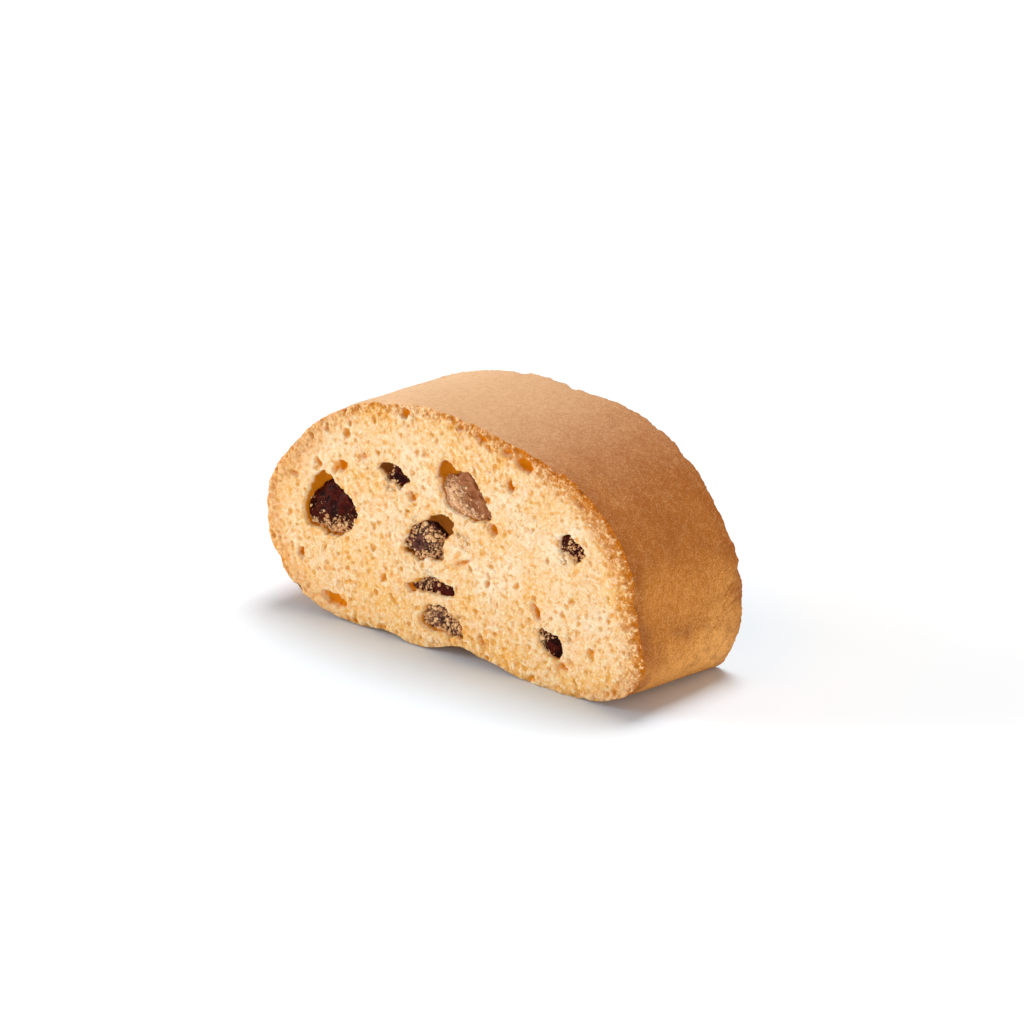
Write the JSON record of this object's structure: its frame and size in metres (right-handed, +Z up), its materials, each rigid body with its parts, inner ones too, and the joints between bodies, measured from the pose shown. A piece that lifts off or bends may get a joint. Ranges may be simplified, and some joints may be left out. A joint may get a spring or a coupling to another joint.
{
  "type": "biscotti slice",
  "caption": "Thick slice of twice-baked loaf with a flat bottom, a domed browned crust and pale crumb, with raisins lying in pockets at both cut faces.",
  "frame": {"origin": "centre of the slice's footprint box, on the plane that its baked bottom rests on", "axes": "+X along the slice's length, +Y from the near cut face to the far cut face, +Z up towards the domed crust"},
  "size_m": [0.0712, 0.022, 0.0366],
  "materials": {
    "biscuit": "matte, dry, baked",
    "raisin": "wrinkled, slightly glossy"
  },
  "bodies": {
    "root": {"biscuit": "biscuit", "raisin_left": "raisin", "raisin_upper": "raisin", "raisin_crown": "raisin", "raisin_middle": "raisin", "raisin_thin": "raisin", "raisin_low": "raisin", "raisin_right": "raisin", "raisin_far_left": "raisin", "raisin_far_crown": "raisin", "raisin_far_middle": "raisin", "raisin_far_upper": "raisin", "raisin_far_right": "raisin", "raisin_far_corner": "raisin", "raisin_corner": "raisin"}
  },
  "joints": []
}
